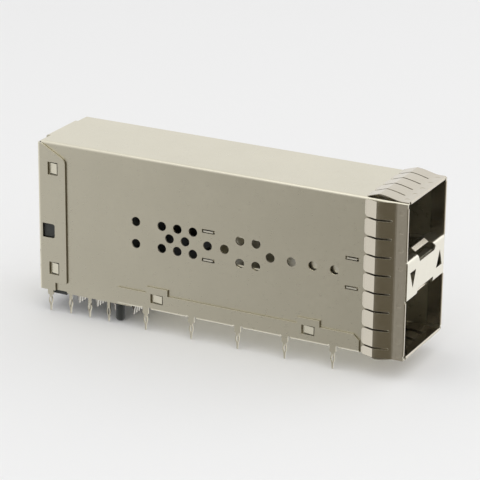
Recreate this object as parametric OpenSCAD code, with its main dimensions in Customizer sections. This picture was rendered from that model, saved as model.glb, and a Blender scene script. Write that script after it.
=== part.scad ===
// Stacked two-port transceiver cage with a built-in right-angle connector.
// Folded sheet shells, a U-shaped divider, spring-finger gaskets and press-fit pins.
// X runs across the ports, Y from the ports to the rear, Z up from the board.
// The origin lies on the board plane, midway between the two locating pegs.

/* [Ports] */
// Clear width between the side walls
port_w = 14; // [13.8:0.1:18]
// Clear height of each port mouth
port_h = 8.95; // [8.7:0.05:11]
// Height of the divider's front face between the ports
divider_h = 6.4; // [5.2:0.1:8]

/* [Shell] */
// Thickness of the cage's sheet
sheet = 0.25; // [0.2:0.01:0.3]
// Length from the front edge to the back of the rear plate
cage_len = 63.2; // [60:0.1:80]
// Height of the cage floor above the board
standoff = 0.6; // [0.5:0.05:0.75]
// Outside radius of the sheet bends
bend_r = 0.45; // [0.4:0.05:0.6]
// Play between two lapped sheets
lap_gap = 0.06; // [0.02:0.01:0.1]

/* [Vent holes] */
// Diameter of a vent hole
vent_d = 1.5; // [0.8:0.1:1.6]
// Distance along the cage between the holes of a cluster
vent_pitch = 2.73; // [2.4:0.05:3.2]
// Height of the outer vent rows above and below the middle row
vent_rise = 1.82; // [1.7:0.05:2.1]
// Distance along the cage between the holes of the front row
vent_row_pitch = 3.58; // [2:0.05:3.8]

/* [Press-fit pins] */
// Length of a shell pin below the board plane
pin_len = 2.85; // [2.4:0.05:3.4]
// Width of a pin's spring eye
pin_eye_w = 0.68; // [0.5:0.02:0.9]
// Distance between the pins along the bottom flaps
pin_pitch = 8.1; // [6:0.1:9.6]
// Distance from the front edge to the first flap pin
first_pin = 11.4; // [10:0.1:14]
// Distance between the pins of the side walls at the rear
rear_pin_pitch = 3.5; // [2.6:0.1:4]

/* [Gaskets] */
// Thickness of the spring strip
strip = 0.1; // [0.06:0.01:0.12]
// Distance from one gasket finger to the next
finger_pitch = 2.9; // [2.4:0.05:3.4]
// Width of the slot between two fingers
finger_slot = 0.28; // [0.2:0.02:0.5]
// Distance from the front edge to the free ends of the fingers
finger_end = 6.8; // [6.2:0.1:7]
// How far the finger crests stand off the shell
finger_rise = 0.64; // [0.3:0.02:0.9]

/* [Connector] */
// Distance between neighbouring contacts
contact_pitch = 0.8; // [0.75:0.05:0.85]
// Thickness of a contact lead
lead_t = 0.3; // [0.15:0.05:0.35]
// Height of the card slots above and below the middle of the cage
slot_offset = 6; // [5.6:0.1:6.6]
// Clear height of a card slot
card_slot_h = 1.1; // [1:0.05:1.3]
// Distance between the rows of contact tails
tail_pitch = 3.35; // [2.9:0.05:3.5]
// Length of a contact tail below the board plane
tail_len = 2.4; // [1.8:0.1:2.6]
// Diameter of a locating peg
peg_d = 1.5; // [1.2:0.05:1.6]
// Length of a locating peg below the board plane
peg_len = 2.95; // [2.85:0.05:3.6]
// Distance between the two locating pegs
peg_span = 11.3; // [11.1:0.1:11.5]

/* [Hidden] */
WAFERS = 10;

$fn = 32;
SIDES = [-1, 1];
plated = [0.69, 0.66, 0.58];
bright_plate = [0.86, 0.84, 0.78];
spring_metal = [0.72, 0.68, 0.61];
dark_plastic = [0.23, 0.24, 0.23];
gold = [0.83, 0.68, 0.36];

// Overall levels and widths
half_in = port_w / 2;
half_out = half_in + sheet;
half_flap = half_out + lap_gap + sheet;
cage_h = 2 * port_h + divider_h + 2 * sheet;
cage_top = standoff + cage_h;
mid_z = standoff + cage_h / 2;
floor_top = standoff + sheet;
roof = cage_top - sheet;
inner_r = bend_r - sheet;

// Stations along the cage, from the front edge
rear_gap = 0.05;
housing_depth = 16.3;
nose_len = 8.8;
rear_in = cage_len - sheet;
housing_rear = rear_in - rear_gap;
housing_front = housing_rear - housing_depth;
nose_front = housing_front - nose_len;
divider_gap = 3.9;
divider_rear = nose_front - divider_gap;
peg_y = housing_front + 2.8;
floor_rear = housing_front - 0.15;
flap_front = 7.1;
flap_rear = peg_y - 0.5;

// Bottom flaps
flap_top = standoff + 2.83;
step_rise = 1.02;
step_w = 3.82;
front_step_y = 15.6;
rear_step_y = flap_rear - 7.1;
window_w = 2.2;
window_z = [standoff + 1.25, standoff + 2.75];
pin_count = floor((flap_rear - 3 - first_pin) / pin_pitch) + 1;
flap_pins = [for (i = [0:pin_count - 1]) first_pin + i * pin_pitch];
tongue_w = 1;
tongue_cut = 1.8;
relief_h = 0.42;
floor_slot_w = 3.16;
flap_corner = [1, 0.9];
lance_out = 0.24;
lance_root = 0.3;
lance_play = 0.05;

// Rear flaps of the rear plate
rear_flap_y = cage_len - 5.05;
rear_flap_top = cage_top - 0.3;
rear_pin_y = cage_len - 2.05;
wall_pins = [for (i = [1:3]) rear_pin_y - i * rear_pin_pitch];
latch_window_y = cage_len - 2.8;
latch_window_w = 1.8;
latch_window_h = 2.1;
upper_window_z = cage_top - 4.27;
lower_window_z = standoff + 3.8;
boss_y = cage_len - 1.9;
boss_z = standoff + 10.08;
boss_w = 2.2;
boss_h = 2.35;
boss_r = 0.4;
boss_play = 0.1;
rear_flap_slope = 3;
rear_flap_r = 1.1;
rear_foot_r = 0.4;
rear_foot_step = [0.9, 1.35];
bend_relief_z = [3.95, 6.45];
bend_relief = [0.35, 0.4];
rear_tab_half = 4.2;
rear_tab_drop = 3;
catch_window_half = 1.1;
catch_window_z = [2.3, 1.2];
catch_half = 0.85;
catch_side = 0.1;
catch_tip_z = 1.42;

// Press-fit eye
neck_w = 0.46;
eye_top = 0.22;
eye_len = 1.8;
eye_wall = 0.17;
shoulder_z = -0.08;

// Gasket
strip_gap = 0.02;
side_root = 2.3;
level_root = 1.75;
ramp_len = 0.65;
crest_y = finger_end - 2.1;
weld_y = 0.85;
weld_d = 0.7;
weld_depth = 0.03;
inner_band = 2.2;
inner_finger_rise = 0.33;
inner_finger_len = 2.6;
inner_slot_w = 0.8;
corner_r = 0.5;
side_strip_top = cage_top - 0.15;
side_strip_bottom = standoff - 0.05;
side_slots = floor((side_strip_top - side_strip_bottom - 0.6) / finger_pitch);
top_slots = 2 * floor((half_in - 0.6 + finger_pitch / 2) / finger_pitch);

// Divider
plate_z = divider_h / 2 - 0.855;
face_y = -0.025;
face_half = half_in - 0.03;
plate_half = half_in - 0.1;
joggle = [2.2, 3.2];
notch_half = 3.05;
notch_lean = 0.25;
lower_notch_h = 0.9;
upper_notch_h = 1.25;
upper_notch_lean = [0.7, 0.7];
upper_notch_r = 0.55;
left_sight_hole = [[-5.95, 1.2], [-3.75, 1.2], [-4.8, -1.5]];
right_sight_hole = [[4.05, -1.3], [6.25, -1.3], [5.3, 1.35]];
bar_y = [0.22, 1.2];
tongue_room_depth = 0.6;
face_bend_r = 0.3;
tab_out = 0.06;
ear_r = 0.45;
front_ear_y = [0.7, 18.2];
rear_ear_y = [divider_rear - 7.3, divider_rear - 0.7];
ear_inset = [0.3, 1.2];
bar_z = divider_h / 2 - upper_notch_h - 0.025;
tab_w = 1.65;
tab_ys = [8.7, divider_rear - 1];
slot_w = 2.2;
slot_h = 0.6;

// Latch springs
spring_t = 0.2;
spring_half = 2.45;
spring_base_half = plate_half - 1.9;
spring_base_y = [11.5, divider_rear - 3.4];
lip_y = 0.68;
lip_z = divider_h / 2 + 0.1;
lip_bend_y = 1.32;
lip_bend_z = divider_h / 2 + 0.55;
catch_hole_y = 5.2;
catch_hole = [[-1.3, 1.6], [1.3, 1.6], [0, -0.9]];
weld_hole_x = 3;
weld_hole_inset = 3;
weld_hole_d = 1;

// Connector
nose_half_w = 5.15;
nose_half_h = 1.9;
slot_half_w = 4.65;
slot_depth = 6.2;
slot_mouth = 0.9;
lead_w = 0.4;
lead_gap = 0.06;
tail_eye_w = 0.56;
beam_z = 1.05;
touch_z = 0.62;
wall_t = 0.7;
wafer_front = housing_front + wall_t + 0.05;
wafer_rear = housing_rear - 1.1;
wafer_t = contact_pitch - 0.04;
wafer_bottom = 0.85;
wafer_top = roof - 1.55;
wafer_half = WAFERS * contact_pitch / 2;
organiser_t = 0.8;
tail_y = [for (i = [0:3]) housing_front + 1.5 + i * tail_pitch];
block_in = wafer_half + 0.1;
housing_half = half_in - 0.1;
housing_top = roof - 0.05;
wall_clear = 0.42;
peg_tip_r = 0.55;
peg_foot_r = 1;
pocket_len = 3.4;
pocket_pitch = 4.2;
pocket_depth = 1.5;
pocket_z = [[2.2, 9], [11.6, 22.4]];

// Moves a piece drawn from the front edge into the row's frame
module from_front() {
    translate([0, -peg_y, 0]) children();
}

// Both sides of the cage
module both_sides() {
    children();
    mirror([1, 0, 0]) children();
}

// Extrudes a section drawn in X and Z along the cage
module along_y(y0, y1) {
    translate([0, y1, 0]) rotate([90, 0, 0]) linear_extrude(y1 - y0) children();
}

// Extrudes a profile drawn in Y and Z across the cage
module along_x(x0, x1) {
    translate([x0, 0, 0]) rotate([90, 0, 90]) linear_extrude(x1 - x0) children();
}

// A block given by its two corners
module block(a, b) {
    translate(a) cube(b - a);
}

// Points of an arc, from one angle to another
function arc(c, r, a0, a1, n = 5) =
    [for (i = [0:n]) let (a = a0 + (a1 - a0) * i / n) c + r * [cos(a), sin(a)]];

function unit(v) = v / norm(v);
function left_of(v) = [-v[1], v[0]];

// Mitred normal of a path at one of its points
function path_normal(p, i) =
    i == 0 ? left_of(unit(p[1] - p[0])) :
    i == len(p) - 1 ? left_of(unit(p[i] - p[i - 1])) :
    let (a = left_of(unit(p[i] - p[i - 1])), b = left_of(unit(p[i + 1] - p[i])), m = unit(a + b))
    m / (m * a);

// Outline of a sheet of thickness t whose middle follows a path
function sheet_outline(p, t) = concat(
    [for (i = [0:len(p) - 1]) p[i] + path_normal(p, i) * t / 2],
    [for (i = [len(p) - 1:-1:0]) p[i] - path_normal(p, i) * t / 2]);

// Section of a folded channel: a web at the top and two legs
module channel(half, top, foot, t, r) {
    difference() {
        union() {
            translate([-half, foot]) square([2 * half, top - r - foot]);
            translate([-half + r, foot]) square([2 * (half - r), top - foot]);
            for (s = SIDES) translate([s * (half - r), top - r]) circle(r);
        }
        translate([-half + t, foot - 1]) square([2 * (half - t), top - r - foot + 1]);
        translate([-half + r, foot - 1]) square([2 * (half - r), top - t - foot + 1]);
        for (s = SIDES) translate([s * (half - r), top - r]) circle(r - t);
    }
}

// Lens made by two arcs: the outline of a spring eye and of its hole
module lens(w, h) {
    r = (h * h + w * w) / (4 * w);
    intersection() {
        translate([r - w / 2, 0]) circle(r);
        translate([w / 2 - r, 0]) circle(r);
    }
}

// Flat outline of a press-fit pin in Y and Z: shoulder, neck, spring eye and pointed tip
module pin_outline(y, top, width, shoulder) {
    eye_z = -eye_top - eye_len / 2;
    neck_z = min(shoulder - 0.12, -eye_top);
    translate([y, 0]) difference() {
        union() {
            polygon([[-width / 2, top], [-width / 2, shoulder], [-neck_w / 2, neck_z],
                     [-neck_w / 2, eye_z + eye_len * 0.36], [neck_w / 2, eye_z + eye_len * 0.36],
                     [neck_w / 2, neck_z], [width / 2, shoulder], [width / 2, top]]);
            translate([0, eye_z]) lens(pin_eye_w, eye_len);
            polygon([[-pin_eye_w / 3.6, eye_z - eye_len * 0.28], [-0.07, -pin_len],
                     [0.07, -pin_len], [pin_eye_w / 3.6, eye_z - eye_len * 0.28]]);
        }
        translate([0, eye_z]) lens(pin_eye_w - 2 * eye_wall, eye_len - 0.45);
    }
}

// Press-fit pin in the plane of a side wall or flap
module side_pin(y, x_out, top, width, shoulder) {
    along_x(x_out - sheet, x_out) pin_outline(y, top, width, shoulder);
}

// ---- Upper shell ----

// Centres of the vent holes as [distance from the front, row from -1 to 1]
cluster_y = nose_front + 0.5;
pair_y = 24.72;
vents = concat(
    [for (i = [0:3]) [11.56 + i * vent_row_pitch, 0]],
    [for (i = [0:1], r = [-1, 1]) [pair_y + i * vent_pitch, r]],
    [for (i = [0:1]) [divider_rear - 3.8 + i * 2.92, 0]],
    [for (i = [-1:1], r = [-1, 1]) [cluster_y + i * vent_pitch, r]],
    [for (i = [-1:2:1]) [cluster_y + i * vent_pitch / 2, 0]],
    [for (r = [-1, 1]) [housing_front - 1, r]]);

// Side view of a wall's lower edge, cut away above the floor and at the feet
module wall_cut_profile() {
    bend_top = standoff + bend_r + 0.05;
    polygon([[-1, -1], [-1, floor_top + 0.05], [flap_front - 0.2, floor_top + 0.05],
             [flap_front - 0.2, bend_top], [floor_rear + 0.1, bend_top],
             [floor_rear + 0.1, wall_clear], [rear_flap_y, wall_clear],
             [rear_flap_y + 0.25, wall_clear + 0.3], [cage_len + 1, wall_clear + 0.3],
             [cage_len + 1, -1]]);
}

// Tongue pushed out of a side wall to catch a flap's window: hinged at the rear, free in front
module lance(y, w, z0, z1) {
    hinge = y + w / 2 - 0.25;
    tip = y - w / 2 + 0.15;
    x = half_out - sheet / 2;
    translate([0, 0, z0]) linear_extrude(z1 - z0)
        polygon(sheet_outline([[x, hinge + lance_root], [x, hinge], [x + lance_out, tip]], sheet));
}

module lower_lance(y) lance(y, window_w, window_z[0] + 0.15, window_z[1] - 0.15);

module rear_lance(z)
    lance(latch_window_y, latch_window_w, z - latch_window_h / 2 + 0.2, z + latch_window_h / 2 - 0.2);

// Hole that a lance is sheared from
module lance_opening(y0, y1, z0, z1) {
    block([half_in - 1, y0, z0], [half_out + 1, y1, z1]);
}

module wall_openings() {
    for (v = vents) {
        translate([half_in - 1, v[0], mid_z + v[1] * vent_rise])
            rotate([0, 90, 0]) cylinder(h = sheet + 2, d = vent_d);
    }
    for (y = tab_ys, s = SIDES) {
        block([half_in - 1, y - slot_w / 2, mid_z + s * plate_z - slot_h / 2],
              [half_out + 1, y + slot_w / 2, mid_z + s * plate_z + slot_h / 2]);
    }
    for (y = [front_step_y, rear_step_y]) {
        lance_opening(y - window_w / 2 + lance_play, y + window_w / 2 - 0.25,
                      window_z[0] + lance_play, window_z[1] - lance_play);
    }
    for (z = [upper_window_z, lower_window_z]) {
        lance_opening(latch_window_y - latch_window_w / 2 + 0.02,
                      latch_window_y + latch_window_w / 2 - 0.25,
                      z - latch_window_h / 2 + lance_play, z + latch_window_h / 2 - lance_play);
    }
    block([half_in - 1, boss_y - boss_w / 2 - lance_play, boss_z - boss_h / 2 - lance_play],
          [half_out + 1, boss_y + boss_w / 2 + lance_play, boss_z + boss_h / 2 + lance_play]);
}

// Tab of the roof, folded down behind the rear plate, with its catch window
module rear_tab() {
    y_in = cage_len + lap_gap;
    y_out = y_in + sheet;
    difference() {
        along_x(-rear_tab_half, rear_tab_half) difference() {
            union() {
                translate([rear_in - 1, roof]) square([y_out - bend_r - rear_in + 1, sheet]);
                translate([y_in, cage_top - rear_tab_drop]) square([sheet, rear_tab_drop - bend_r]);
                translate([y_out - bend_r, cage_top - bend_r]) intersection() {
                    circle(bend_r);
                    square(bend_r);
                }
            }
            translate([y_out - bend_r, cage_top - bend_r]) circle(inner_r);
        }
        block([-catch_window_half, y_in - 1, cage_top - catch_window_z[0]],
              [catch_window_half, y_out + 1, cage_top - catch_window_z[1]]);
    }
}

module upper_shell() {
    color(plated) from_front() union() {
        difference() {
            along_y(0, rear_in - 0.3) channel(half_out, cage_top, 0, sheet, bend_r);
            along_x(-half_out - 1, half_out + 1) wall_cut_profile();
            both_sides() wall_openings();
        }
        rear_tab();
        both_sides() {
            for (y = wall_pins) side_pin(y, half_out, wall_clear + 0.2, neck_w, wall_clear);
            for (y = [front_step_y, rear_step_y]) lower_lance(y);
            for (z = [upper_window_z, lower_window_z]) rear_lance(z);
        }
    }
}

// ---- Bottom shell ----

// Side view of a flap, with its raised steps and cut front corner
module flap_outline() {
    half = step_w / 2;
    polygon(concat(
        [[flap_front, standoff + bend_r], [flap_front, flap_top - flap_corner[1]],
         [flap_front + flap_corner[0], flap_top]],
        [for (y = [front_step_y, rear_step_y],
              p = [[-half, 0], [-half, step_rise], [half, step_rise], [half, 0]])
            [y + p[0], flap_top + p[1]]],
        [[flap_rear, flap_top], [flap_rear, standoff + bend_r]]));
}

module bottom_shell() {
    color(plated) from_front() difference() {
        union() {
            // Floor with the rolled lower edges of the flaps
            difference() {
                along_y(0, flap_rear) mirror([0, 1]) translate([0, -standoff])
                    channel(half_flap, 0, -bend_r - 0.3, sheet, bend_r);
                both_sides()
                    block([half_flap - bend_r, -1, -1], [half_flap + 1, flap_front, cage_top]);
                block([-half_out, floor_rear, -1], [half_out, flap_rear + 1, cage_top]);
            }
            both_sides() {
                along_x(half_flap - sheet, half_flap) flap_outline();
                for (y = flap_pins) side_pin(y, half_flap, standoff + bend_r, tongue_w, shoulder_z);
            }
        }
        both_sides() {
            for (y = [front_step_y, rear_step_y])
                block([half_out, y - window_w / 2, window_z[0]],
                      [half_flap + 1, y + window_w / 2, window_z[1]]);
            // Each pin's blank leaves a slot in the floor, with a relief notch on both sides of the pin
            for (y = flap_pins) {
                block([half_flap - sheet - floor_slot_w, y - tongue_cut / 2, standoff - 1],
                      [half_flap - sheet, y + tongue_cut / 2, floor_top + 0.2]);
                for (s = SIDES) {
                    w = (tongue_cut - tongue_w) / 2;
                    translate([0, y + s * (tongue_w + w) / 2, 0]) {
                        block([half_out, -w / 2, standoff - 1],
                              [half_flap + 1, w / 2, standoff + relief_h - w / 2]);
                        translate([half_out, 0, standoff + relief_h - w / 2])
                            rotate([0, 90, 0]) cylinder(h = 2, d = w);
                    }
                }
            }
        }
    }
}

// ---- Rear plate ----

// Side view of a rear flap: sloped top, rounded corner, stepped foot
module rear_flap_outline() {
    step_z = standoff + rear_foot_step[1] + 0.05;
    polygon(concat(
        [[cage_len - bend_r, standoff + 0.05], [cage_len - bend_r, rear_flap_top],
         [cage_len - bend_r - 0.3, rear_flap_top]],
        arc([rear_flap_y + rear_flap_r, rear_flap_top - rear_flap_slope], rear_flap_r, 118, 180, 6),
        arc([rear_flap_y + rear_foot_r, step_z + rear_foot_r], rear_foot_r, 180, 270, 4),
        [[rear_pin_y - rear_foot_step[0], step_z],
         [rear_pin_y - rear_foot_step[0], standoff + 0.05]]));
}

// Boss and its window, with rounded front corners; play shrinks it all round
module boss_outline(play) {
    w = boss_w / 2 - play;
    h = boss_h / 2 - play;
    r = boss_r;
    translate([boss_y, boss_z]) {
        translate([-w + r, -h]) square([2 * w - r, 2 * h]);
        translate([-w, -h + r]) square([2 * w, 2 * (h - r)]);
        for (s = SIDES) translate([-w + r, s * (h - r)]) circle(r);
    }
}

module rear_plate() {
    color(plated) from_front() union() {
        difference() {
            union() {
                // Back wall with both bends
                translate([0, 0, standoff + 0.05]) linear_extrude(rear_flap_top - standoff - 0.05)
                    channel(half_flap, cage_len, cage_len - bend_r - 0.3, sheet, bend_r);
                both_sides() along_x(half_flap - sheet, half_flap) rear_flap_outline();
            }
            both_sides() {
                for (z = [upper_window_z, lower_window_z])
                    block([half_out, latch_window_y - latch_window_w / 2, z - latch_window_h / 2],
                          [half_flap + 1, latch_window_y + latch_window_w / 2, z + latch_window_h / 2]);
                along_x(half_out, half_flap + 1) boss_outline(0);
                // Bend reliefs on the rear corner
                for (z = bend_relief_z) {
                    side = bend_relief[0];
                    half = bend_relief[1] / 2;
                    block([half_flap - side, cage_len - side, standoff + z - half],
                          [half_flap + 1, cage_len + 1, standoff + z + half]);
                }
            }
            // Top edge lowered under the roof tab's bend
            block([-rear_tab_half - 0.3, rear_in - 1, cage_top - bend_r - 0.02],
                  [rear_tab_half + 0.3, cage_len + 1, cage_top]);
            // Slit that frees the catch in the roof tab's window
            block([-catch_half - catch_side, rear_in - 1, cage_top - catch_window_z[0] + catch_side],
                  [catch_half + catch_side, cage_len + 1, cage_top - catch_window_z[1] - catch_side]);
        }
        both_sides() side_pin(rear_pin_y, half_flap, standoff + 0.3, tongue_w, shoulder_z);
        // Catch bent out of the back wall into the roof tab's window
        along_x(-catch_half, catch_half) {
            y = rear_in + sheet / 2;
            foot = cage_top - catch_window_z[0] + catch_side;
            tip = cage_top - catch_tip_z;
            polygon(sheet_outline([[y, foot - lance_root], [y, foot], [y + lance_out, tip]], sheet));
        }
    }
}

// ---- Divider ----

// Side profile of the divider's wrap, outside the notch: plates, joggles and front face
module divider_wrap() {
    edge = divider_h / 2 - sheet / 2;
    r = face_bend_r;
    upper = [[divider_rear, plate_z], [joggle[1], plate_z], [joggle[0], edge]];
    bend = arc([face_y + r, edge - r], r, 90, 180, 3);
    lower_bend = arc([face_y + r, r - edge], r, 180, 270, 3);
    polygon([for (p = sheet_outline(concat(upper, bend, lower_bend,
        [[joggle[0], -edge], [joggle[1], -plate_z], [divider_rear, -plate_z]]), sheet)) p + [0, mid_z]]);
}

// Leaning notches for the latch tongues, in X and height above the divider's middle
module upper_notch() {
    top = divider_h / 2;
    r = upper_notch_r;
    left = -notch_half;
    right = notch_half - notch_lean;
    polygon(concat(
        [[left, top + 1], [left, top], [left + upper_notch_lean[0], top - upper_notch_h]],
        arc([right + upper_notch_lean[1] - r, top - upper_notch_h + r], r, 270, 365, 6),
        [[right, top], [right, top + 1]]));
}

module lower_notch() {
    top = divider_h / 2;
    half = notch_half;
    bottom = top - lower_notch_h;
    polygon([[-half - notch_lean, top + 1], [-half - notch_lean, top], [notch_lean - half, bottom],
             [half, bottom], [half - notch_lean, top], [half - notch_lean, top + 1]]);
}

// Triangular sight hole in the face
module sight_hole(points) {
    along_y(-1, 1) translate([0, mid_z]) polygon(points);
}

// What one port needs of the divider's front: the plate cut away under the latch tongue
module tongue_room() {
    block([-notch_half, 0.15, plate_z - sheet / 2 - tongue_room_depth],
          [notch_half, joggle[1] + 0.1, divider_h / 2 + 1]);
    block([-spring_half - 0.25, joggle[1] - 0.1, plate_z - 1],
          [spring_half + 0.25, spring_base_y[0] - 0.4, plate_z + 1]);
}

// Lowered bar and rails that carry the notch's front edge
module notch_bar() {
    along_x(-notch_half, notch_half)
        polygon(sheet_outline([for (y = bar_y) [y, bar_z]], sheet));
    both_sides() along_x(spring_half + 0.25, notch_half + 0.2)
        polygon(sheet_outline([[bar_y[0], bar_z], [bar_y[1], bar_z], [joggle[1], plate_z],
                               [joggle[1] + 0.4, plate_z]], sheet));
}

module divider() {
    color(bright_plate) from_front() union() {
        difference() {
            along_x(-face_half, face_half) divider_wrap();
            // Behind the face the plates are a little narrower
            both_sides() block([plate_half, 0.6, 0], [half_in + 1, divider_rear + 1, cage_top]);
            along_y(-1, 0.9) translate([0, mid_z]) upper_notch();
            along_y(-1, 0.9) translate([0, mid_z]) mirror([0, 1]) lower_notch();
            translate([0, 0, mid_z]) {
                tongue_room();
                mirror([0, 0, 1]) tongue_room();
            }
            sight_hole(left_sight_hole);
            sight_hole(right_sight_hole);
        }
        translate([0, 0, mid_z]) {
            notch_bar();
            mirror([0, 0, 1]) notch_bar();
        }
        // Tabs that pass through the side walls
        both_sides() for (y = tab_ys, s = SIDES) translate([0, y - tab_w / 2, mid_z + s * plate_z])
            block([plate_half - 0.1, 0, -sheet / 2], [half_out + tab_out, tab_w, sheet / 2]);
        // Ears folded up from the lower plate in front and down from the upper plate behind
        both_sides() {
            ear(front_ear_y, plate_half - ear_inset[0]);
            translate([0, 0, 2 * mid_z]) mirror([0, 0, 1]) ear(rear_ear_y, plate_half - ear_inset[1]);
        }
    }
}

// Stiffening ear folded up from the lower plate, its outer face at x
module ear(y, x) {
    r = ear_r;
    foot = mid_z - plate_z;
    along_y(y[0], y[1]) polygon(sheet_outline(concat(
        [[x - sheet / 2 - r - 0.5, foot]],
        arc([x - sheet / 2 - r, foot + r], r, 270, 360, 4),
        [[x - sheet / 2, foot + 2 * plate_z - 0.6]]), sheet));
}

// ---- Latch springs ----

// Side profile of a latch spring: lip, rising tongue and flat base
module latch_profile() {
    base_z = plate_z + sheet / 2 + lap_gap + spring_t / 2;
    polygon(sheet_outline([[lip_y, lip_z], [lip_bend_y, lip_bend_z], [lip_bend_y + 0.5, lip_bend_z + 0.02],
                           [spring_base_y[0] - 1.2, base_z + 0.15], [spring_base_y[0], base_z],
                           [spring_base_y[1], base_z]], spring_t));
}

// Latch spring of the upper port, its heights taken from the divider's middle
module latch_spring() {
    color(spring_metal) difference() {
        intersection() {
            along_x(-half_in, half_in) latch_profile();
            union() {
                block([-spring_half, 0, 0], [spring_half, spring_base_y[0] + 1, cage_h]);
                block([-spring_base_half, spring_base_y[0], 0],
                      [spring_base_half, spring_base_y[1], cage_h]);
            }
        }
        // Three-sided catch hole
        translate([0, catch_hole_y, 0]) linear_extrude(cage_h) polygon(catch_hole);
        for (x = SIDES, y = [spring_base_y[0] + weld_hole_inset, spring_base_y[1] - weld_hole_inset])
            translate([x * weld_hole_x, y, 0]) cylinder(h = cage_h, d = weld_hole_d);
    }
}

module upper_latch_spring() {
    from_front() translate([0, 0, mid_z]) latch_spring();
}

module lower_latch_spring() {
    from_front() translate([0, 0, mid_z]) mirror([0, 0, 1]) latch_spring();
}

// ---- Gaskets ----

// Share of the crest's height reached at a share u of the way up the ramp
function lift(u) = 0.7 * (1 - pow(1 - u, 2.6) * (1 + 2.6 * u)) + 0.3 * pow(u, 1.5);

// Profile of a finger strip in Y and height off the shell: fold, band, ramp, crest and free end
function finger_path(root) =
    let (z0 = strip_gap + strip / 2, zi = -sheet - strip_gap - strip / 2, r = strip,
         start = root - ramp_len, span = crest_y - start)
    concat(
        [[0.15, zi]],
        arc([r / 2 - strip_gap, zi + r], r, 270, 180, 3),
        arc([r / 2 - strip_gap, z0 - r], r, 180, 90, 3),
        [for (i = [0:12]) let (u = i / 12) [start + span * u, z0 + finger_rise * lift(u)]],
        [[finger_end - 0.35, z0 + 0.1], [finger_end, z0 + 0.02]]);

// Strip across a width, with its fold; the inner band is added apart
module strip_body(x0, x1, root) {
    along_x(x0, x1) polygon(sheet_outline(finger_path(root), strip));
}

// Slot between two fingers, with the rounded free corners
module slot_cut(x, root) {
    w = finger_slot / 2;
    r = corner_r;
    translate([x, 0, -1]) linear_extrude(3) {
        translate([0, root + w]) circle(w);
        difference() {
            translate([-w - r, root + w]) square([2 * (w + r), finger_end - root - w + 1]);
            for (s = SIDES) {
                translate([s * (w + r), finger_end - r]) circle(r);
                translate([s * (w + r) - r, 0]) square([2 * r, finger_end - r]);
            }
        }
    }
}

// Rounded outer corner of the strip's free end; s is 1 at the far end of the strip
module end_round(x, s) {
    r = corner_r;
    translate([x, finger_end, -1]) linear_extrude(3) difference() {
        translate([-r, -r]) square(2 * r);
        translate([-s * r, -r]) circle(r);
        translate([-s * r - r, -r - 1]) square([2 * r, 1]);
        translate([s > 0 ? -2 * r : r, -2 * r]) square([r, 3 * r]);
    }
}

// Inner band behind the fold, with its short spring fingers
module inner_strip(x0, x1, fingers) {
    z = -sheet - strip_gap - strip / 2;
    rise = fingers > 0 ? inner_finger_rise : 0;
    back = fingers > 0 ? inner_band + inner_finger_len : inner_band;
    path = fingers > 0 ?
        [[0.1, z], [1.3, z], [2.2, z - rise * 0.75], [2.9, z - rise], [3.6, z - rise * 0.9],
         [back, z - 0.1]] :
        [[0.1, z], [back, z]];
    difference() {
        along_x(x0, x1) polygon(sheet_outline(path, strip));
        if (fingers > 1)
            for (i = [1:fingers - 1])
                translate([x0 + (x1 - x0) * i / fingers - inner_slot_w / 2, 1.3, z - 1])
                    cube([inner_slot_w, back, 2]);
    }
}

// A whole gasket lying on the plane z = 0, its fingers spread along X
module gasket(x0, x1, root, slots, inner, fingers) {
    edges = concat([x0], slots, [x1]);
    color(spring_metal) union() {
        difference() {
            strip_body(x0, x1, root);
            for (x = slots) slot_cut(x, root);
            // Spot welds, one for each finger
            for (i = [0:len(edges) - 2])
                translate([(edges[i] + edges[i + 1]) / 2, weld_y, strip_gap + strip - weld_depth])
                    cylinder(h = 1, d = weld_d);
            end_round(x0, -1);
            end_round(x1, 1);
            // The fold is kept only where an inner band follows it
            for (i = [0:len(inner)]) {
                a = i == 0 ? x0 - 1 : inner[i - 1][1];
                b = i == len(inner) ? x1 + 1 : inner[i][0];
                block([a, -1, -1], [b, 0.2, -sheet / 2]);
                block([a, -1, -1], [b, 0, 1]);
            }
        }
        for (p = inner) inner_strip(p[0], p[1], fingers);
    }
}

port_edges = [[floor_top + 0.5, mid_z - divider_h / 2 - 0.05], [mid_z + divider_h / 2 + 0.05, roof - 0.5]];

// Side gasket: local X runs down from the top, local Z points out of the wall
module side_gasket(s) {
    slots = [for (i = [0:side_slots - 1]) finger_pitch * (i + 1) - 0.05];
    bands = [for (p = [port_edges[1], port_edges[0]]) [side_strip_top - p[1], side_strip_top - p[0]]];
    from_front() mirror([s < 0 ? 0 : 1, 0, 0])
        translate([-half_out, 0, side_strip_top]) rotate([0, -90, 0]) mirror([1, 0, 0])
            gasket(0, side_strip_top - side_strip_bottom, side_root, slots, bands, 0);
}

module left_gasket() side_gasket(-1);
module right_gasket() side_gasket(1);

module level_gasket() {
    slots = [for (i = [0:top_slots - 1]) (i - (top_slots - 1) / 2) * finger_pitch];
    gasket(-half_in, half_in, level_root, slots, [[-half_in + 0.6, half_in - 0.6]], 4);
}

module top_gasket() {
    from_front() translate([0, 0, cage_top]) level_gasket();
}

module bottom_gasket() {
    from_front() translate([0, 0, standoff]) mirror([0, 0, 1]) level_gasket();
}

// ---- Connector ----

// Middle height of each card slot
slot_levels = [mid_z - slot_offset, mid_z + slot_offset];
wafer_x = [for (i = [0:WAFERS - 1]) (i - (WAFERS - 1) / 2) * contact_pitch];

// Path of a lead in Y and Z: from its contact point, through the wafer, down to the board
function lead_path(row) =
    let (level = slot_levels[floor(row / 2)], s = row % 2 == 0 ? -1 : 1, z = level + s * beam_z,
         y = tail_y[row], cut = min(1.5, y - wafer_front - lead_w / 2))
    [[nose_front + 1.1, level + s * (touch_z + 0.28)], [nose_front + 2, level + s * touch_z],
     [nose_front + 4.6, z], [y - cut, z], [y, z - cut], [y, 0]];

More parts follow.
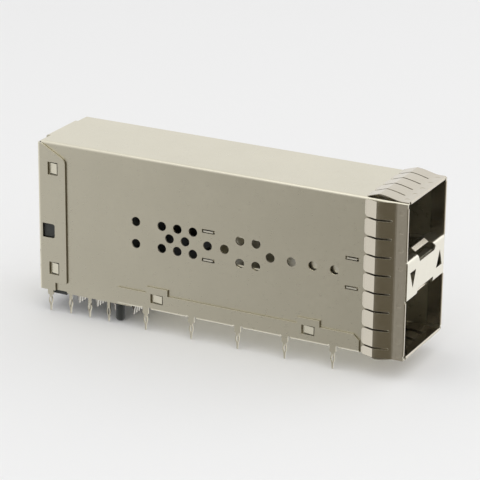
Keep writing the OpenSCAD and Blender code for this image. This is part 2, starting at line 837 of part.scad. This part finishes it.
// Small press-fit tail of a lead
module tail_outline(y) {
    translate([y, 0]) difference() {
        polygon([[-lead_w / 2, 0.01], [-0.2, -0.25], [-tail_eye_w / 2, -0.65], [-tail_eye_w / 2, -1.05],
                 [-0.11, -1.6], [-0.05, -tail_len], [0.05, -tail_len], [0.11, -1.6], [tail_eye_w / 2, -1.05],
                 [tail_eye_w / 2, -0.65], [0.2, -0.25], [lead_w / 2, 0.01]]);
        polygon([[0, -0.45], [0.1, -0.7], [0.1, -1], [0, -1.25], [-0.1, -1], [-0.1, -0.7]]);
    }
}

module contact_set(i) {
    x = wafer_x[i - 1];
    color(gold) from_front() for (row = [0:3]) {
        along_x(x - lead_t / 2, x + lead_t / 2) union() {
            polygon(sheet_outline(lead_path(row), lead_w));
            tail_outline(tail_y[row]);
        }
    }
}

module wafer(i) {
    x = wafer_x[i - 1];
    color(dark_plastic) from_front() difference() {
        along_x(x - wafer_t / 2, x + wafer_t / 2)
            polygon([[wafer_front, wafer_bottom], [wafer_front, wafer_top], [wafer_rear - 4, wafer_top],
                     [wafer_rear, wafer_top - 4], [wafer_rear, wafer_bottom]]);
        along_x(x - lead_t / 2, x + lead_t / 2)
            for (row = [0:3]) polygon(sheet_outline(lead_path(row), lead_w));
    }
}

module tail_organiser() {
    color(dark_plastic) from_front() difference() {
        block([-wafer_half, wafer_front, 0], [wafer_half, wafer_rear, organiser_t]);
        for (x = wafer_x, y = tail_y)
            block([x - lead_t / 2 - lead_gap, y - tail_eye_w / 2 - lead_gap, -1],
                  [x + lead_t / 2 + lead_gap, y + tail_eye_w / 2 + lead_gap, organiser_t + 1]);
    }
}

// Nose that enters the module's end, with its card slot and contact grooves
module nose(level) {
    front = nose_front;
    back = nose_front + slot_depth;
    h = card_slot_h / 2;
    difference() {
        block([-nose_half_w, front, level - nose_half_h],
              [nose_half_w, housing_front + 0.1, level + nose_half_h]);
        along_x(-slot_half_w, slot_half_w) translate([0, level])
            polygon([[front - 1, -h - slot_mouth], [front + 0.5, -h], [back, -h],
                     [back, h], [front + 0.5, h], [front - 1, h + slot_mouth]]);
    }
}

// Locating peg with a rounded tip
module peg() {
    r = peg_d / 2;
    tip = peg_tip_r;
    translate([peg_span / 2, peg_y, 0]) rotate_extrude() {
        translate([0, -peg_len + tip]) square([r, peg_len - tip + wall_clear + 0.5]);
        translate([0, -peg_len]) square([r - tip, tip + 0.1]);
        translate([r - tip, -peg_len + tip]) intersection() {
            circle(tip);
            translate([0, -tip]) square([tip, tip]);
        }
    }
}

module housing_block() {
    difference() {
        block([block_in, housing_front, wall_clear], [housing_half, housing_rear, housing_top]);
        // Cored pockets in the outer face
        for (i = [0:2], z = pocket_z) {
            y = housing_front + 1.6 + i * pocket_pitch;
            block([housing_half - pocket_depth, y, z[0]],
                  [housing_half + 1, y + pocket_len, min(z[1], housing_top - 1.4)]);
        }
    }
}

module connector_housing() {
    color(dark_plastic) from_front() difference() {
        union() {
            for (level = slot_levels) nose(level);
            block([-housing_half, housing_front, wall_clear],
                  [housing_half, housing_front + wall_t, housing_top]);
            block([-housing_half, housing_front, wafer_top + 0.1],
                  [housing_half, housing_rear, housing_top]);
            both_sides() {
                housing_block();
                peg();
                // Feet on the board: round the peg and at the rear corner
                translate([peg_span / 2, peg_y, 0]) cylinder(h = wall_clear + 0.2, r = peg_foot_r);
                block([block_in, rear_flap_y + 0.4, 0], [housing_half, rear_pin_y - 0.2, wall_clear + 0.2]);
                // Boss that snaps through the side wall and the rear flap
                along_x(housing_half - 0.1, half_out - 0.05) boss_outline(boss_play);
            }
        }
        // Grooves for the contact beams, through the front wall
        for (x = wafer_x, level = slot_levels) {
            w = lead_t / 2 + lead_gap;
            block([x - w, nose_front + 0.8, level - beam_z - lead_w / 2 - lead_gap - 0.1],
                  [x + w, housing_front + wall_t + 1, level + beam_z + lead_w / 2 + lead_gap + 0.1]);
        }
    }
}

upper_shell();
bottom_shell();
rear_plate();
divider();
upper_latch_spring();
lower_latch_spring();
left_gasket();
right_gasket();
top_gasket();
bottom_gasket();
connector_housing();
tail_organiser();
for (i = [1:WAFERS]) wafer(i);
for (i = [1:WAFERS]) contact_set(i);
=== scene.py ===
import math

import bpy
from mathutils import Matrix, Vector


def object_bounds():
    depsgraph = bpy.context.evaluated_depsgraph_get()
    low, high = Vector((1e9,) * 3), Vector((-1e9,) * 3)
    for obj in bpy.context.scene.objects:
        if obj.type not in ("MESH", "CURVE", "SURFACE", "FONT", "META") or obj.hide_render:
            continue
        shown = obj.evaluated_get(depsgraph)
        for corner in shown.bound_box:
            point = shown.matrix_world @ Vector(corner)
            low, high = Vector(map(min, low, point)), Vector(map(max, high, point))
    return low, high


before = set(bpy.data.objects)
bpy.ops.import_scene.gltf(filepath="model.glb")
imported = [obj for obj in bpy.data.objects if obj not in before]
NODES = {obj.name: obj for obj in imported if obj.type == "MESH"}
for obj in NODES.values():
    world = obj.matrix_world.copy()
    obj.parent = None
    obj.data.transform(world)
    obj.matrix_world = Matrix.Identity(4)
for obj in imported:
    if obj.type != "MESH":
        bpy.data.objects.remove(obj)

bl_info = {
    "name": "Stacked transceiver cage finishes",
    "version": (1, 0, 0),
    "blender": (4, 5, 0),
    "location": "View3D > Sidebar > Cage",
    "description": "Plated sheet, spring strip, moulded plastic and studio for a stacked cage",
    "category": "Object",
}

MM = 0.001
CAD_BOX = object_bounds()

SHELLS = ("upper_shell", "bottom_shell", "rear_plate")
LATCH_SPRINGS = ("upper_latch_spring", "lower_latch_spring")
GASKETS = ("left_gasket", "right_gasket", "top_gasket", "bottom_gasket")
MOULDINGS = ("connector_housing", "tail_organiser")
WAFERS = tuple(sorted(n for n in NODES if n.startswith("wafer_")))
CONTACTS = tuple(sorted(n for n in NODES if n.startswith("contacts_")))

# Contact plating: tin below the first height, gold above the second
TAIL_PLATE = (0.4 * MM, 1.2 * MM)
# Share of its length that the rolling grain keeps across the sheet
GRAIN_STRETCH = 0.04
# Hairline scratches: cells per metre and width of a line within a cell
HAIR_SCALE = 1400.0
HAIR_WIDTH = 0.012
SHEET_RELIEF = 0.004 * MM
SPARK_RELIEF = 0.01 * MM

CAMERA_PLACE = (-0.316447, -0.179620, 0.143026)
CAMERA_TURN = (69.7493, -0.5621, -62.7736)
SENSOR_WIDTH = 36.0
CLIP = (0.01, 20.0)
SET_MIDDLE = Vector((0, -0.015, 0.01))
FLOOR_SIZE = 4.0
FLOOR_GAP = 0.01 * MM
FLAG_RADIUS = 1.8
KEY_PLACE, KEY_SIZE = (-0.25, -0.1, 0.55), 0.8
FILL_PLACE, FILL_SIZE = (0.35, -0.45, 0.25), 0.6
# Brightness of the surroundings as they light the set, and as they are seen or mirrored
ROOM_LIGHT = 0.8
ROOM_WHITE = 1.0


def srgb(r, g, b):
    """A colour written as the eye sees it, as Blender's linear values."""
    def linear(c):
        return c / 12.92 if c <= 0.04045 else ((c + 0.055) / 1.055) ** 2.4
    return (linear(r / 255), linear(g / 255), linear(b / 255))


def colour(name, description, default):
    return bpy.props.FloatVectorProperty(
        name=name, description=description, subtype="COLOR", size=3,
        min=0.0, max=1.0, default=default)


def length(name, description, default_mm, low_mm=0.0, high_mm=500.0):
    return bpy.props.FloatProperty(
        name=name, description=description, subtype="DISTANCE", unit="LENGTH",
        default=default_mm * MM, min=low_mm * MM, max=high_mm * MM)


def share(name, description, default):
    return bpy.props.FloatProperty(
        name=name, description=description, subtype="FACTOR", default=default, min=0.0, max=1.0)


class CageFinishSettings(bpy.types.PropertyGroup):
    shell_colour: colour("Shell plating", "Dull plate of the folded shells", srgb(217, 212, 194))
    divider_colour: colour("Divider plating", "Brighter plate of the divider", srgb(234, 230, 216))
    spring_colour: colour("Spring strip", "Bare strip of gaskets and latches", srgb(206, 199, 184))
    # Darker colour along sheared edges: partly the bare cut metal, partly painted shade standing in for
    # the shadow lines in the gaps along lapped sheets and flap edges.
    cut_edge_and_shade_colour: colour("Sheared edge", "Duller metal along sheared edges", srgb(146, 138, 118))
    plastic_colour: colour("Connector plastic", "Dark moulded plastic of the connector", srgb(54, 56, 54))
    wafer_colour: colour("Wafer plastic", "Black moulded plastic of the wafers", srgb(34, 34, 33))
    contact_colour: colour("Contact gold", "Gold flash on the contact beams", srgb(222, 186, 112))
    tail_colour: colour("Tail tin", "Tin on the contact tails", srgb(205, 202, 194))
    grain_size: length("Grain size", "Width of the rolling marks in the sheet", 0.05, 0.01, 1.0)
    edge_width: length("Edge width", "Width of the line along a sheared edge", 0.03, 0.01, 0.5)
    # Strength of the darker edge line on the metal: bare cut metal and painted shade together.
    wear_and_shade: share("Edge wear", "Strength of the sheared edges", 0.5)


class CageStudioSettings(bpy.types.PropertyGroup):
    floor_colour: colour("Floor", "Pale floor under the cage", srgb(238, 238, 238))
    lens: bpy.props.FloatProperty(name="Lens", description="Focal length on a 36 mm sensor",
                                  default=182.636, min=20.0, max=400.0)
    key_watts: bpy.props.FloatProperty(name="Key lamp", description="Power of the overhead softbox",
                                       default=1.2, min=0.0, max=100.0)
    fill_watts: bpy.props.FloatProperty(name="Fill lamp", description="Power of the side softbox",
                                        default=0.6, min=0.0, max=100.0)
    flag_colour: colour("Dark flag", "Dim side of the room, seen in the metal", srgb(112, 106, 92))
    flag_azimuth: bpy.props.FloatProperty(
        name="Flag azimuth", description="Where the flag is darkest",
        subtype="ANGLE", default=math.radians(209))
    flag_elevation: bpy.props.FloatProperty(
        name="Flag elevation", description="Height of the dark middle",
        subtype="ANGLE", default=math.radians(-20))
    flag_fade: bpy.props.FloatVectorProperty(
        name="Flag fade", description="Cosines from the middle where the flag starts and is full",
        size=2, default=(0.3, 0.82))


# ---- Shader groups shared by the finishes ----

class Recipe:
    """Small helper that adds nodes to one node tree and joins them."""

    def __init__(self, tree):
        self.tree = tree

    def add(self, kind, inputs=None, **settings):
        node = self.tree.nodes.new(kind)
        for key, value in settings.items():
            setattr(node, key, value)
        for key, value in (inputs or {}).items():
            if isinstance(value, bpy.types.NodeSocket):
                self.tree.links.new(value, node.inputs[key])
            else:
                node.inputs[key].default_value = value
        return node

    def maths(self, operation, *values, clamp=False):
        node = self.tree.nodes.new("ShaderNodeMath")
        node.operation = operation
        node.use_clamp = clamp
        for index, value in enumerate(values):
            if isinstance(value, bpy.types.NodeSocket):
                self.tree.links.new(value, node.inputs[index])
            else:
                node.inputs[index].default_value = value
        return node.outputs[0]

    def mix(self, factor, first, second):
        node = self.tree.nodes.new("ShaderNodeMix")
        node.data_type = "RGBA"
        for index, value in ((0, factor), (6, first), (7, second)):
            if isinstance(value, bpy.types.NodeSocket):
                self.tree.links.new(value, node.inputs[index])
            elif index == 0:
                node.inputs[index].default_value = value
            else:
                node.inputs[index].default_value = (*value, 1.0)
        return node.outputs[2]

    def spread(self, value, low, high, to_low, to_high):
        node = self.add("ShaderNodeMapRange", {0: value, 1: low, 2: high, 3: to_low, 4: to_high})
        return node.outputs[0]


def new_group(name, inputs, outputs):
    """A shader group with named sockets: {name: (socket type, default)} in, {name: type} out."""
    tree = bpy.data.node_groups.new(name, "ShaderNodeTree")
    for socket, (kind, default) in inputs.items():
        made = tree.interface.new_socket(name=socket, in_out="INPUT", socket_type=kind)
        if default is not None:
            made.default_value = default
    for socket, kind in outputs.items():
        tree.interface.new_socket(name=socket, in_out="OUTPUT", socket_type=kind)
    recipe = Recipe(tree)
    return tree, recipe, recipe.add("NodeGroupInput").outputs, recipe.add("NodeGroupOutput").inputs


FLOAT, VECTOR = "NodeSocketFloat", "NodeSocketVector"


def rolled_sheet_group():
    """Rolling grain along the sheet, cloudy plating and fine handling scratches."""
    name = "rolled_sheet"
    if name in bpy.data.node_groups:
        return bpy.data.node_groups[name]
    tree, r, given, out = new_group(
        name,
        {"Place": (VECTOR, None), "Grain Scale": (FLOAT, 20000.0), "Cloud Scale": (FLOAT, 120.0)},
        {"Tone": FLOAT, "Cloud": FLOAT, "Scratches": FLOAT, "Height": FLOAT})
    stretched = r.add("ShaderNodeVectorMath", {0: given["Place"], 1: (1.0, GRAIN_STRETCH, 1.0)},
                      operation="MULTIPLY")
    grain = r.add("ShaderNodeTexNoise", {"Vector": stretched.outputs[0], "Scale": given["Grain Scale"],
                                         "Detail": 3.0, "Roughness": 0.6})
    cloud = r.add("ShaderNodeTexNoise", {"Vector": given["Place"], "Scale": given["Cloud Scale"],
                                         "Detail": 4.0, "Roughness": 0.55})
    fine_cloud = r.add("ShaderNodeTexNoise", {"Vector": given["Place"],
                                              "Scale": r.maths("MULTIPLY", given["Cloud Scale"], 9.0),
                                              "Detail": 3.0, "Roughness": 0.6})
    turned = r.add("ShaderNodeMapping", {"Vector": given["Place"], "Rotation": (0.35, 0.2, 0.6),
                                         "Scale": (1.0, 0.06, 0.9)})
    hair = r.add("ShaderNodeTexVoronoi", {"Vector": turned.outputs[0], "Scale": HAIR_SCALE},
                 feature="DISTANCE_TO_EDGE")
    line = r.spread(hair.outputs["Distance"], 0.0, HAIR_WIDTH, 1.0, 0.0)
    patches = r.spread(fine_cloud.outputs[0], 0.55, 0.7, 0.0, 1.0)
    scratches = r.maths("MULTIPLY", line, patches, clamp=True)
    tone = r.maths("ADD", r.maths("MULTIPLY", grain.outputs[0], 0.45),
                   r.maths("MULTIPLY", fine_cloud.outputs[0], 0.55))
    rough_ground = r.maths("ADD", grain.outputs[0], r.maths("MULTIPLY", fine_cloud.outputs[0], 0.8))
    height = r.maths("SUBTRACT", rough_ground, r.maths("MULTIPLY", scratches, 0.8))
    for socket, value in (("Tone", tone), ("Cloud", cloud.outputs[0]),
                          ("Scratches", scratches), ("Height", height)):
        tree.links.new(value, out[socket])
    return tree


def cut_edge_group():
    """Mask of sheared edges, and the normal that rounds them."""
    name = "cut_edge"
    if name in bpy.data.node_groups:
        return bpy.data.node_groups[name]
    tree, r, given, out = new_group(
        name, {"Radius": (FLOAT, 0.06 * MM), "Break Up": (FLOAT, 0.5)},
        {"Edge": FLOAT, "Normal": VECTOR})
    rounded = r.add("ShaderNodeBevel", {"Radius": given["Radius"]}, samples=6)
    flat = r.add("ShaderNodeNewGeometry")
    facing = r.add("ShaderNodeVectorMath", {0: rounded.outputs[0], 1: flat.outputs["True Normal"]},
                   operation="DOT_PRODUCT")
    turned = r.maths("SUBTRACT", 1.0, facing.outputs["Value"])
    edge = r.spread(turned, 0.01, 0.22, 0.0, 1.0)
    tree.links.new(r.maths("MULTIPLY", edge, given["Break Up"], clamp=True), out["Edge"])
    tree.links.new(rounded.outputs[0], out["Normal"])
    return tree


def moulded_group():
    """Fine spark texture and faint flow marks of moulded plastic."""
    name = "moulded_plastic"
    if name in bpy.data.node_groups:
        return bpy.data.node_groups[name]
    tree, r, given, out = new_group(
        name, {"Place": (VECTOR, None), "Grain Scale": (FLOAT, 9000.0)},
        {"Tone": FLOAT, "Height": FLOAT})
    spark = r.add("ShaderNodeTexNoise", {"Vector": given["Place"], "Scale": given["Grain Scale"],
                                         "Detail": 2.0, "Roughness": 0.5})
    flow = r.add("ShaderNodeTexNoise", {"Vector": given["Place"], "Scale": 260.0, "Detail": 2.0,
                                        "Distortion": 1.2})
    tree.links.new(flow.outputs[0], out["Tone"])
    tree.links.new(spark.outputs[0], out["Height"])
    return tree


def place_group(recipe, tree_group, inputs):
    node = recipe.add("ShaderNodeGroup", node_tree=tree_group)
    for key, value in inputs.items():
        if isinstance(value, bpy.types.NodeSocket):
            recipe.tree.links.new(value, node.inputs[key])
        else:
            node.inputs[key].default_value = value
    return node.outputs


def new_material(name):
    material = bpy.data.materials.new(name)
    material.use_nodes = True
    tree = material.node_tree
    tree.nodes.clear()
    recipe = Recipe(tree)
    shader = recipe.add("ShaderNodeBsdfPrincipled")
    output = recipe.add("ShaderNodeOutputMaterial")
    tree.links.new(shader.outputs[0], output.inputs[0])
    place = recipe.add("ShaderNodeTexCoord").outputs["Object"]
    return material, recipe, shader, place


def dimmed(rgb, factor):
    return tuple(c * factor for c in rgb)


def metal_finish(name, base, edge_rgb, rough, depth=0.25, cloudiness=0.06, tail_rgb=None):
    """A plated or bare sheet: cloudy colour, grain, scratches and darker edges (partly bare cut metal,
    partly painted shade), and a second plate on tails.
    """
    finishes = bpy.context.scene.cage_finishes
    material, r, shader, place = new_material(name)
    sheet = place_group(r, rolled_sheet_group(),
                        {"Place": place, "Grain Scale": 1.0 / finishes.grain_size})
    edge = place_group(r, cut_edge_group(),
                       {"Radius": finishes.edge_width, "Break Up": finishes.wear_and_shade})
    cloudy = r.mix(r.spread(sheet["Cloud"], 0.35, 0.65, 0.0, 1.0), dimmed(base, 1 - cloudiness), base)
    toned = r.mix(r.spread(sheet["Tone"], 0.35, 0.65, 0.0, 1.0), dimmed(base, 0.95), cloudy)
    if tail_rgb:
        height = r.add("ShaderNodeSeparateXYZ", {0: place}).outputs[2]
        toned = r.mix(r.spread(height, TAIL_PLATE[0], TAIL_PLATE[1], 0.0, 1.0), tail_rgb, toned)
    # Darker edge line and scratches: the edge line is partly bare cut metal, partly painted shade; the
    # scratches are real marks.
    edge_shade_and_scratch_mask = r.maths("MAXIMUM", edge["Edge"], r.maths("MULTIPLY", sheet["Scratches"], 0.15))
    edge_shade_and_scratches = r.mix(edge_shade_and_scratch_mask, toned, edge_rgb)
    r.tree.links.new(edge_shade_and_scratches, shader.inputs["Base Color"])
    shader.inputs["Metallic"].default_value = 1.0
    roughness = r.maths("ADD", r.spread(sheet["Tone"], 0.3, 0.7, rough - 0.05, rough + 0.07),
                        r.maths("MULTIPLY", edge["Edge"], 0.1))
    r.tree.links.new(roughness, shader.inputs["Roughness"])
    bump = r.add("ShaderNodeBump", {"Strength": depth, "Distance": SHEET_RELIEF,
                                    "Height": sheet["Height"], "Normal": edge["Normal"]})
    r.tree.links.new(bump.outputs[0], shader.inputs["Normal"])
    return material


def plastic_finish(name, base, rough):
    """A moulded plastic with fine spark texture and slightly paler edges: partly edge wear, partly a
    painted highlight.
    """
    finishes = bpy.context.scene.cage_finishes
    material, r, shader, place = new_material(name)
    mould = place_group(r, moulded_group(), {"Place": place})
    edge = place_group(r, cut_edge_group(),
                       {"Radius": finishes.edge_width * 1.5, "Break Up": 0.35})
    toned = r.mix(r.spread(mould["Tone"], 0.3, 0.7, 0.0, 1.0), dimmed(base, 0.88), dimmed(base, 1.12))
    # Paler edges: a painted highlight along the edges, together with some edge wear.
    edge_wear_and_highlight = r.mix(edge["Edge"], toned, dimmed(base, 1.6))
    r.tree.links.new(edge_wear_and_highlight, shader.inputs["Base Color"])
    roughness = r.spread(mould["Height"], 0.3, 0.7, rough - 0.06, rough + 0.06)
    r.tree.links.new(roughness, shader.inputs["Roughness"])
    bump = r.add("ShaderNodeBump", {"Strength": 0.3, "Distance": SPARK_RELIEF,
                                    "Height": mould["Height"], "Normal": edge["Normal"]})
    r.tree.links.new(bump.outputs[0], shader.inputs["Normal"])
    return material


def dress(names, material):
    """Puts a finish in every material slot of these CAD nodes."""
    for name in names:
        mesh = NODES[name].data
        mesh.materials.clear()
        mesh.materials.append(material)


class CAGE_OT_dress_shells(bpy.types.Operator):
    """Plated finish on the folded shells and the rear plate"""
    bl_idname = "cage.dress_shells"
    bl_label = "Dress shells"

    def execute(self, context):
        finishes = context.scene.cage_finishes
        dress(SHELLS, metal_finish("plated_sheet", tuple(finishes.shell_colour),
                                   tuple(finishes.cut_edge_and_shade_colour), rough=0.3))
        return {"FINISHED"}


class CAGE_OT_dress_divider(bpy.types.Operator):
    """Brighter plate on the divider and its latch springs"""
    bl_idname = "cage.dress_divider"
    bl_label = "Dress divider"

    def execute(self, context):
        finishes = context.scene.cage_finishes
        dress(("divider",), metal_finish("divider_plate", tuple(finishes.divider_colour),
                                         tuple(finishes.cut_edge_and_shade_colour), rough=0.3))
        dress(LATCH_SPRINGS, metal_finish("latch_strip", tuple(finishes.spring_colour),
                                          tuple(finishes.cut_edge_and_shade_colour), rough=0.26))
        return {"FINISHED"}


class CAGE_OT_dress_gaskets(bpy.types.Operator):
    """Spring strip finish on the finger gaskets"""
    bl_idname = "cage.dress_gaskets"
    bl_label = "Dress gaskets"

    def execute(self, context):
        finishes = context.scene.cage_finishes
        dress(GASKETS, metal_finish("gasket_strip", tuple(finishes.spring_colour),
                                    tuple(finishes.cut_edge_and_shade_colour), rough=0.2))
        return {"FINISHED"}


class CAGE_OT_dress_connector(bpy.types.Operator):
    """Moulded plastic and gold on the built-in connector"""
    bl_idname = "cage.dress_connector"
    bl_label = "Dress connector"

    def execute(self, context):
        finishes = context.scene.cage_finishes
        dress(MOULDINGS, plastic_finish("connector_plastic", tuple(finishes.plastic_colour), rough=0.55))
        dress(WAFERS, plastic_finish("wafer_plastic", tuple(finishes.wafer_colour), rough=0.5))
        dress(CONTACTS, metal_finish("contact_gold", tuple(finishes.contact_colour),
                                     tuple(finishes.contact_colour), rough=0.25, depth=0.15,
                                     tail_rgb=tuple(finishes.tail_colour)))
        return {"FINISHED"}


def build_floor(studio):
    """A wide sheet of pale paper just under the pin tips, left out of the metal's reflections."""
    bpy.ops.object.select_all(action="DESELECT")
    bpy.ops.mesh.primitive_plane_add(size=FLOOR_SIZE, location=(0, 0, CAD_BOX[0].z - FLOOR_GAP))
    floor = bpy.context.object
    floor.name = "studio_floor"
    material, _, shader, _ = new_material("studio_paper")
    shader.inputs["Base Color"].default_value = (*studio.floor_colour, 1.0)
    shader.inputs["Roughness"].default_value = 0.9
    floor.data.materials.append(material)
    floor.visible_glossy = False


def build_flag(studio):
    """A great shade round the set, seen only in the metal: dim in one direction, open elsewhere."""
    bpy.ops.object.select_all(action="DESELECT")
    bpy.ops.mesh.primitive_uv_sphere_add(segments=48, ring_count=24, radius=FLAG_RADIUS)
    flag = bpy.context.object
    flag.name = "studio_flag"
    material = bpy.data.materials.new("studio_shade")
    material.use_nodes = True
    tree = material.node_tree
    tree.nodes.clear()
    r = Recipe(tree)
    place = r.add("ShaderNodeTexCoord").outputs["Object"]
    towards = r.add("ShaderNodeVectorMath", {0: place}, operation="NORMALIZE").outputs[0]
    level = math.cos(studio.flag_elevation)
    middle = (level * math.cos(studio.flag_azimuth), level * math.sin(studio.flag_azimuth),
              math.sin(studio.flag_elevation))
    facing = r.add("ShaderNodeVectorMath", {0: towards, 1: middle},
                   operation="DOT_PRODUCT").outputs["Value"]
    cover = r.spread(facing, studio.flag_fade[0], studio.flag_fade[1], 0.0, 1.0)
    clear = r.add("ShaderNodeBsdfTransparent")
    dim = r.add("ShaderNodeEmission", {"Color": (*studio.flag_colour, 1.0), "Strength": 1.0})
    both = r.add("ShaderNodeMixShader", {0: cover, 1: clear.outputs[0], 2: dim.outputs[0]})
    output = r.add("ShaderNodeOutputMaterial")
    tree.links.new(both.outputs[0], output.inputs[0])
    flag.data.materials.append(material)
    flag.visible_camera = False
    flag.visible_diffuse = False
    flag.visible_shadow = False
    flag.visible_transmission = False


def build_world(scene):
    """White surroundings: as bright as paper where seen or mirrored, gentler where they light."""
    world = bpy.data.worlds.new("studio_world")
    scene.world = world
    world.use_nodes = True
    world.node_tree.nodes.clear()
    w = Recipe(world.node_tree)
    path = w.add("ShaderNodeLightPath").outputs
    seen = w.maths("MAXIMUM", w.maths("MAXIMUM", path["Is Camera Ray"], path["Is Glossy Ray"]),
                   path["Is Transmission Ray"])
    lit = w.add("ShaderNodeBackground", {"Color": (1, 1, 1, 1), "Strength": ROOM_LIGHT})
    white = w.add("ShaderNodeBackground", {"Color": (1, 1, 1, 1), "Strength": ROOM_WHITE})
    both = w.add("ShaderNodeMixShader", {0: seen, 1: lit.outputs[0], 2: white.outputs[0]})
    end = w.add("ShaderNodeOutputWorld")
    world.node_tree.links.new(both.outputs[0], end.inputs[0])


def build_softbox(scene, name, place_at, size, watts):
    """A square lamp aimed at the middle of the set."""
    lamp = bpy.data.lights.new(name, "AREA")
    lamp.shape = "SQUARE"
    lamp.size = size
    lamp.energy = watts
    holder = bpy.data.objects.new(name, lamp)
    scene.collection.objects.link(holder)
    holder.location = place_at
    holder.rotation_euler = (SET_MIDDLE - Vector(place_at)).to_track_quat("-Z", "Y").to_euler()


def build_camera(scene, studio):
    camera = bpy.data.cameras.new("studio_camera")
    camera.lens = studio.lens
    camera.sensor_width = SENSOR_WIDTH
    camera.clip_start, camera.clip_end = CLIP
    stand = bpy.data.objects.new("studio_camera", camera)
    scene.collection.objects.link(stand)
    stand.location = CAMERA_PLACE
    stand.rotation_euler = [math.radians(a) for a in CAMERA_TURN]
    scene.camera = stand


class CAGE_OT_build_studio(bpy.types.Operator):
    """Pale floor, soft lamps, white surroundings and the camera"""
    bl_idname = "cage.build_studio"
    bl_label = "Build studio"

    def execute(self, context):
        scene = context.scene
        studio = scene.cage_studio
        build_floor(studio)
        build_flag(studio)
        build_world(scene)
        build_softbox(scene, "key_softbox", KEY_PLACE, KEY_SIZE, studio.key_watts)
        build_softbox(scene, "fill_softbox", FILL_PLACE, FILL_SIZE, studio.fill_watts)
        build_camera(scene, studio)
        scene.view_settings.view_transform = "Standard"
        return {"FINISHED"}


class CAGE_PT_sidebar(bpy.types.Panel):
    """Buttons and settings for the cage"""
    bl_idname = "CAGE_PT_sidebar"
    bl_label = "Stacked cage"
    bl_space_type = "VIEW_3D"
    bl_region_type = "UI"
    bl_category = "Cage"

    def draw(self, context):
        column = self.layout.column()
        for operator in OPERATORS:
            column.operator(operator.bl_idname)
        for group in (context.scene.cage_finishes, context.scene.cage_studio):
            for key in group.bl_rna.properties.keys():
                if key not in ("rna_type", "name"):
                    column.prop(group, key)


OPERATORS = (CAGE_OT_dress_shells, CAGE_OT_dress_divider, CAGE_OT_dress_gaskets,
             CAGE_OT_dress_connector, CAGE_OT_build_studio)
CLASSES = (CageFinishSettings, CageStudioSettings, *OPERATORS, CAGE_PT_sidebar)


def register():
    for cls in CLASSES:
        bpy.utils.register_class(cls)
    bpy.types.Scene.cage_finishes = bpy.props.PointerProperty(type=CageFinishSettings)
    bpy.types.Scene.cage_studio = bpy.props.PointerProperty(type=CageStudioSettings)


def unregister():
    del bpy.types.Scene.cage_studio
    del bpy.types.Scene.cage_finishes
    for cls in reversed(CLASSES):
        bpy.utils.unregister_class(cls)


def main():
    register()
    bpy.ops.cage.dress_shells()
    bpy.ops.cage.dress_divider()
    bpy.ops.cage.dress_gaskets()
    bpy.ops.cage.dress_connector()
    bpy.ops.cage.build_studio()


if __name__ == "__main__":
    main()
